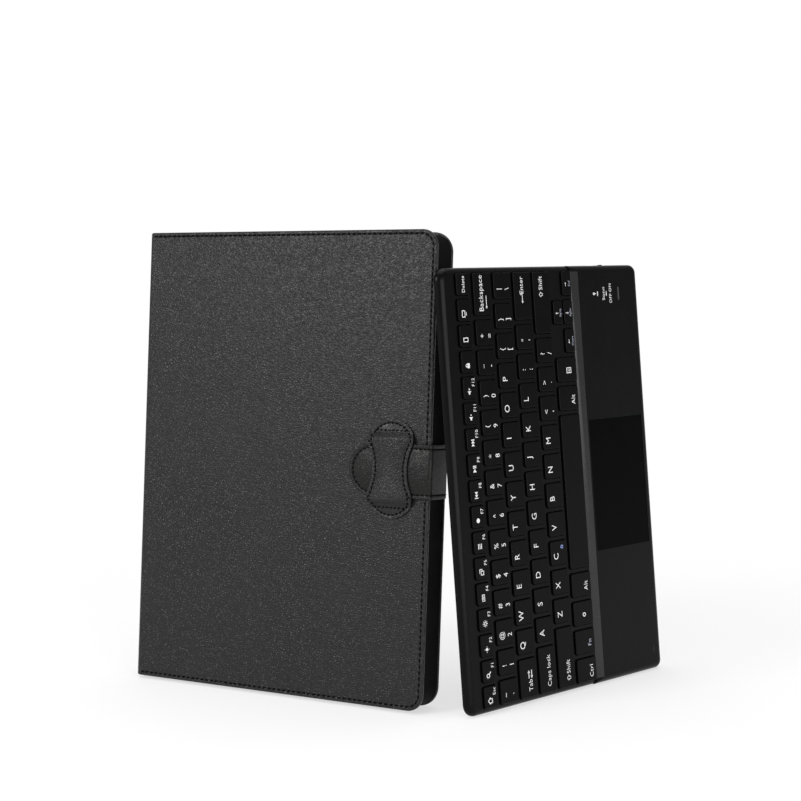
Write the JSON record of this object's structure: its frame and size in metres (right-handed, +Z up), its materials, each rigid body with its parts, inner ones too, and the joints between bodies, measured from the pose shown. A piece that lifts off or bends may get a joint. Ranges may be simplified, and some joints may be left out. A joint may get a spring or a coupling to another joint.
{
  "type": "tablet keyboard case",
  "caption": "Black leather folio tablet case closed by a strap through a loop, with its detachable keyboard standing beside it; covers, strap, keys and switch move.",
  "frame": {"origin": "under the middle of the pair's bounding box, on the surface they stand on", "axes": "+Z up, +X along the case's width from spine to fore-edge, +Y away from the case's front cover"},
  "size_m": [0.2726, 0.1708, 0.2648],
  "materials": {
    "leather": "pebbled satin",
    "board": "matte",
    "lining": "matte suede",
    "tray": "satin",
    "shell": "fine satin",
    "key_plastic": "fine matte",
    "touchpad": "satin",
    "rubber": "matte",
    "steel": "plated",
    "circuit": "solder mask",
    "film": "clear film",
    "cell": "foil",
    "light": "frosted"
  },
  "bodies": {
    "back_cover": {"back_cover_skin": "leather", "back_cover_board": "board", "back_cover_lining": "lining", "tablet_tray": "tray", "strap_side": "leather"},
    "spine": {"spine_skin": "leather", "spine_board": "board"},
    "front_cover": {"front_cover_skin": "leather", "front_cover_board": "board", "front_cover_lining": "lining", "cover_magnets": "steel", "strap_loop": "leather"},
    "strap": {"strap_tongue": "leather"},
    "keyboard": {"keyboard_base": "shell", "keyboard_frame": "shell", "key_backplate": "steel", "key_membrane": "film", "dome_sheet": "rubber", "touchpad_plate": "touchpad", "touchpad_board": "circuit", "battery_cell": "cell", "main_board": "circuit", "charging_port": "steel", "status_light": "light", "corner_pad": "rubber", "rubber_feet": "rubber", "case_screws": "steel", "keyboard_magnets": "steel"},
    "power_switch": {"power_switch": "key_plastic"},
    "key_q": {"key_q": "key_plastic"},
    "key_w": {"key_w": "key_plastic"},
    "key_e": {"key_e": "key_plastic"},
    "key_r": {"key_r": "key_plastic"},
    "key_t": {"key_t": "key_plastic"},
    "key_y": {"key_y": "key_plastic"},
    "key_u": {"key_u": "key_plastic"},
    "key_i": {"key_i": "key_plastic"},
    "key_o": {"key_o": "key_plastic"},
    "key_p": {"key_p": "key_plastic"},
    "key_a": {"key_a": "key_plastic"},
    "key_s": {"key_s": "key_plastic"},
    "key_d": {"key_d": "key_plastic"},
    "key_f": {"key_f": "key_plastic"},
    "key_g": {"key_g": "key_plastic"},
    "key_h": {"key_h": "key_plastic"},
    "key_j": {"key_j": "key_plastic"},
    "key_k": {"key_k": "key_plastic"},
    "key_l": {"key_l": "key_plastic"},
    "key_z": {"key_z": "key_plastic"},
    "key_x": {"key_x": "key_plastic"},
    "key_c": {"key_c": "key_plastic"},
    "key_v": {"key_v": "key_plastic"},
    "key_b": {"key_b": "key_plastic"},
    "key_n": {"key_n": "key_plastic"},
    "key_m": {"key_m": "key_plastic"},
    "space_key": {"space_key": "key_plastic"},
    "function_keys": {"function_keys": "key_plastic"},
    "number_keys": {"number_keys": "key_plastic"},
    "symbol_keys": {"symbol_keys": "key_plastic"},
    "command_keys": {"command_keys": "key_plastic"}
  },
  "joints": [
    {"name": "spine_fold", "type": "hinge", "parent": "back_cover", "child": "spine", "pos_m": [-0.13627, -0.05308, 0.1315], "axis": [0, -0.0872, -0.9962], "range_deg": [0, 90]},
    {"name": "cover_open", "type": "hinge", "parent": "spine", "child": "front_cover", "pos_m": [-0.13627, -0.0739, 0.13332], "axis": [0, -0.0872, -0.9962], "range_deg": [0, 90]},
    {"name": "strap_swing", "type": "hinge", "parent": "back_cover", "child": "strap", "pos_m": [0.05753, -0.07569, 0.13348], "axis": [0, 0.0872, 0.9962], "range_deg": [0, 100]},
    {"name": "keyboard_lift", "type": "slide", "parent": "back_cover", "child": "keyboard", "axis": [0, 0, 1], "range_m": [0, 0.2]},
    {"name": "power_switch", "type": "slide", "parent": "keyboard", "child": "power_switch", "axis": [0.3264, 0.9452, 0], "range_m": [0, 0.003]},
    {"name": "tap_q", "type": "slide", "parent": "keyboard", "child": "key_q", "axis": [-0.9413, 0.325, -0.0906], "range_m": [0, 0.0012], "stiffness_N_per_m": 400},
    {"name": "tap_w", "type": "slide", "parent": "keyboard", "child": "key_w", "axis": [-0.9413, 0.325, -0.0906], "range_m": [0, 0.0012], "stiffness_N_per_m": 400},
    {"name": "tap_e", "type": "slide", "parent": "keyboard", "child": "key_e", "axis": [-0.9413, 0.325, -0.0906], "range_m": [0, 0.0012], "stiffness_N_per_m": 400},
    {"name": "tap_r", "type": "slide", "parent": "keyboard", "child": "key_r", "axis": [-0.9413, 0.325, -0.0906], "range_m": [0, 0.0012], "stiffness_N_per_m": 400},
    {"name": "tap_t", "type": "slide", "parent": "keyboard", "child": "key_t", "axis": [-0.9413, 0.325, -0.0906], "range_m": [0, 0.0012], "stiffness_N_per_m": 400},
    {"name": "tap_y", "type": "slide", "parent": "keyboard", "child": "key_y", "axis": [-0.9413, 0.325, -0.0906], "range_m": [0, 0.0012], "stiffness_N_per_m": 400},
    {"name": "tap_u", "type": "slide", "parent": "keyboard", "child": "key_u", "axis": [-0.9413, 0.325, -0.0906], "range_m": [0, 0.0012], "stiffness_N_per_m": 400},
    {"name": "tap_i", "type": "slide", "parent": "keyboard", "child": "key_i", "axis": [-0.9413, 0.325, -0.0906], "range_m": [0, 0.0012], "stiffness_N_per_m": 400},
    {"name": "tap_o", "type": "slide", "parent": "keyboard", "child": "key_o", "axis": [-0.9413, 0.325, -0.0906], "range_m": [0, 0.0012], "stiffness_N_per_m": 400},
    {"name": "tap_p", "type": "slide", "parent": "keyboard", "child": "key_p", "axis": [-0.9413, 0.325, -0.0906], "range_m": [0, 0.0012], "stiffness_N_per_m": 400},
    {"name": "tap_a", "type": "slide", "parent": "keyboard", "child": "key_a", "axis": [-0.9413, 0.325, -0.0906], "range_m": [0, 0.0012], "stiffness_N_per_m": 400},
    {"name": "tap_s", "type": "slide", "parent": "keyboard", "child": "key_s", "axis": [-0.9413, 0.325, -0.0906], "range_m": [0, 0.0012], "stiffness_N_per_m": 400},
    {"name": "tap_d", "type": "slide", "parent": "keyboard", "child": "key_d", "axis": [-0.9413, 0.325, -0.0906], "range_m": [0, 0.0012], "stiffness_N_per_m": 400},
    {"name": "tap_f", "type": "slide", "parent": "keyboard", "child": "key_f", "axis": [-0.9413, 0.325, -0.0906], "range_m": [0, 0.0012], "stiffness_N_per_m": 400},
    {"name": "tap_g", "type": "slide", "parent": "keyboard", "child": "key_g", "axis": [-0.9413, 0.325, -0.0906], "range_m": [0, 0.0012], "stiffness_N_per_m": 400},
    {"name": "tap_h", "type": "slide", "parent": "keyboard", "child": "key_h", "axis": [-0.9413, 0.325, -0.0906], "range_m": [0, 0.0012], "stiffness_N_per_m": 400},
    {"name": "tap_j", "type": "slide", "parent": "keyboard", "child": "key_j", "axis": [-0.9413, 0.325, -0.0906], "range_m": [0, 0.0012], "stiffness_N_per_m": 400},
    {"name": "tap_k", "type": "slide", "parent": "keyboard", "child": "key_k", "axis": [-0.9413, 0.325, -0.0906], "range_m": [0, 0.0012], "stiffness_N_per_m": 400},
    {"name": "tap_l", "type": "slide", "parent": "keyboard", "child": "key_l", "axis": [-0.9413, 0.325, -0.0906], "range_m": [0, 0.0012], "stiffness_N_per_m": 400},
    {"name": "tap_z", "type": "slide", "parent": "keyboard", "child": "key_z", "axis": [-0.9413, 0.325, -0.0906], "range_m": [0, 0.0012], "stiffness_N_per_m": 400},
    {"name": "tap_x", "type": "slide", "parent": "keyboard", "child": "key_x", "axis": [-0.9413, 0.325, -0.0906], "range_m": [0, 0.0012], "stiffness_N_per_m": 400},
    {"name": "tap_c", "type": "slide", "parent": "keyboard", "child": "key_c", "axis": [-0.9413, 0.325, -0.0906], "range_m": [0, 0.0012], "stiffness_N_per_m": 400},
    {"name": "tap_v", "type": "slide", "parent": "keyboard", "child": "key_v", "axis": [-0.9413, 0.325, -0.0906], "range_m": [0, 0.0012], "stiffness_N_per_m": 400},
    {"name": "tap_b", "type": "slide", "parent": "keyboard", "child": "key_b", "axis": [-0.9413, 0.325, -0.0906], "range_m": [0, 0.0012], "stiffness_N_per_m": 400},
    {"name": "tap_n", "type": "slide", "parent": "keyboard", "child": "key_n", "axis": [-0.9413, 0.325, -0.0906], "range_m": [0, 0.0012], "stiffness_N_per_m": 400},
    {"name": "tap_m", "type": "slide", "parent": "keyboard", "child": "key_m", "axis": [-0.9413, 0.325, -0.0906], "range_m": [0, 0.0012], "stiffness_N_per_m": 400},
    {"name": "tap_space_key", "type": "slide", "parent": "keyboard", "child": "space_key", "axis": [-0.9413, 0.325, -0.0906], "range_m": [0, 0.0012], "stiffness_N_per_m": 400},
    {"name": "tap_function_keys", "type": "slide", "parent": "keyboard", "child": "function_keys", "axis": [-0.9413, 0.325, -0.0906], "range_m": [0, 0.0012], "stiffness_N_per_m": 6800},
    {"name": "tap_number_keys", "type": "slide", "parent": "keyboard", "child": "number_keys", "axis": [-0.9413, 0.325, -0.0906], "range_m": [0, 0.0012], "stiffness_N_per_m": 5600},
    {"name": "tap_symbol_keys", "type": "slide", "parent": "keyboard", "child": "symbol_keys", "axis": [-0.9413, 0.325, -0.0906], "range_m": [0, 0.0012], "stiffness_N_per_m": 3200},
    {"name": "tap_command_keys", "type": "slide", "parent": "keyboard", "child": "command_keys", "axis": [-0.9413, 0.325, -0.0906], "range_m": [0, 0.0012], "stiffness_N_per_m": 6000}
  ]
}
